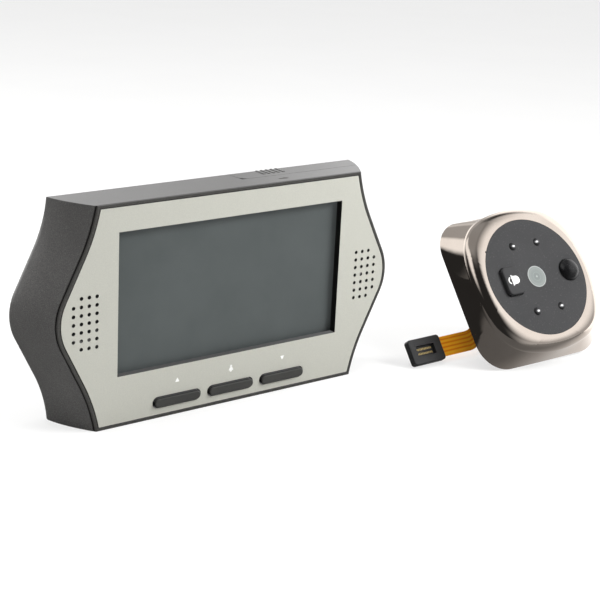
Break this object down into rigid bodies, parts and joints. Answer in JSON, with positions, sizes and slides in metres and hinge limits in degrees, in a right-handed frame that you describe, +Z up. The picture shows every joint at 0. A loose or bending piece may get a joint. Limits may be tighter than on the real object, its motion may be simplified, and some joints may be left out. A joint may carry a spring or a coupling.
{
  "type": "peephole door camera",
  "caption": "Door viewer set: indoor monitor with screen, keys and sliding battery cover, and outdoor camera unit with bell button, motion sensor and ribbon cable.",
  "frame": {"origin": "centre of the monitor's underside, on the table", "axes": "+X along the monitor towards the outdoor unit, +Y from the screen towards the back, +Z up"},
  "size_m": [0.2568, 0.0602, 0.0839],
  "materials": {
    "case_paint": "satin metallic paint",
    "plate_metal": "fine brushed",
    "screen_face": "anti-glare",
    "diffuser_white": "matt",
    "stamped_steel": "rolled",
    "board_green": "solder mask",
    "chip_black": "moulded",
    "key_plastic": "fine moulded",
    "inner_plastic": "moulded",
    "connector_ivory": "moulded",
    "card_black": "satin",
    "speaker_black": "paper cone and steel cup",
    "capsule_metal": "spun",
    "cell_jacket": "printed film",
    "screw_steel": "plated",
    "bezel_plated": "polished, warm tint",
    "disc_gloss": "high gloss",
    "window_clear": "milky edge",
    "lamp_clear": "clear moulding",
    "motion_lens": "smooth",
    "sensor_can": "drawn",
    "bell_plastic": "gloss",
    "lens_glass": "coated",
    "ribbon_film": "polyimide",
    "plug_black": "moulded",
    "contact_gold": "plated"
  },
  "bodies": {
    "housings": {"rear_case": "case_paint", "front_frame": "case_paint", "face_plate": "plate_metal", "lcd_tray": "stamped_steel", "lcd_panel": "screen_face", "lcd_backlight": "diffuser_white", "main_board": "board_green", "board_shield": "stamped_steel", "board_chips": "chip_black", "camera_socket": "connector_ivory", "card_slot": "stamped_steel", "usb_port": "stamped_steel", "speaker": "speaker_black", "microphone": "capsule_metal", "key_board": "board_green", "key_switches": "chip_black", "battery_holder": "inner_plastic", "battery_cells": "cell_jacket", "battery_plates": "stamped_steel", "battery_springs": "stamped_steel", "case_screws": "screw_steel", "camera_bezel": "bezel_plated", "camera_body": "bezel_plated", "face_disc": "disc_gloss", "lens_window": "window_clear", "infrared_lamps": "lamp_clear", "pir_dome": "motion_lens", "pir_sensor": "sensor_can", "bell_switch": "chip_black", "camera_board": "board_green", "board_screws": "screw_steel", "lens_holder": "inner_plastic", "lens_barrel": "inner_plastic", "lens_element": "lens_glass", "image_sensor": "chip_black", "back_plate": "inner_plastic", "back_screws": "screw_steel", "mounting_studs": "screw_steel", "ribbon_socket": "connector_ivory", "ribbon_cable": "ribbon_film", "ribbon_plug": "plug_black", "plug_contacts": "contact_gold"},
    "up_key": {"up_key": "key_plastic", "up_key_plunger": "inner_plastic"},
    "call_key": {"call_key": "key_plastic", "call_key_plunger": "inner_plastic"},
    "down_key": {"down_key": "key_plastic", "down_key_plunger": "inner_plastic"},
    "bell_button": {"bell_button": "bell_plastic", "bell_plunger": "inner_plastic"},
    "battery_cover": {"battery_cover": "case_paint"},
    "memory_card": {"memory_card": "card_black"}
  },
  "joints": [
    {"name": "up_key_press", "type": "slide", "parent": "housings", "child": "up_key", "axis": [0, 1, 0], "range_m": [0, 0.0004], "stiffness_N_per_m": 300},
    {"name": "call_key_press", "type": "slide", "parent": "housings", "child": "call_key", "axis": [0, 1, 0], "range_m": [0, 0.0004], "stiffness_N_per_m": 300},
    {"name": "down_key_press", "type": "slide", "parent": "housings", "child": "down_key", "axis": [0, 1, 0], "range_m": [0, 0.0004], "stiffness_N_per_m": 300},
    {"name": "bell_press", "type": "slide", "parent": "housings", "child": "bell_button", "axis": [0.0534, 0.7937, -0.606], "range_m": [0, 0.0008], "stiffness_N_per_m": 300},
    {"name": "cover_slide", "type": "slide", "parent": "housings", "child": "battery_cover", "axis": [1, 0, 0], "range_m": [0, 0.058]},
    {"name": "card_slide", "type": "slide", "parent": "housings", "child": "memory_card", "axis": [1, 0, 0], "range_m": [0, 0.012]}
  ]
}
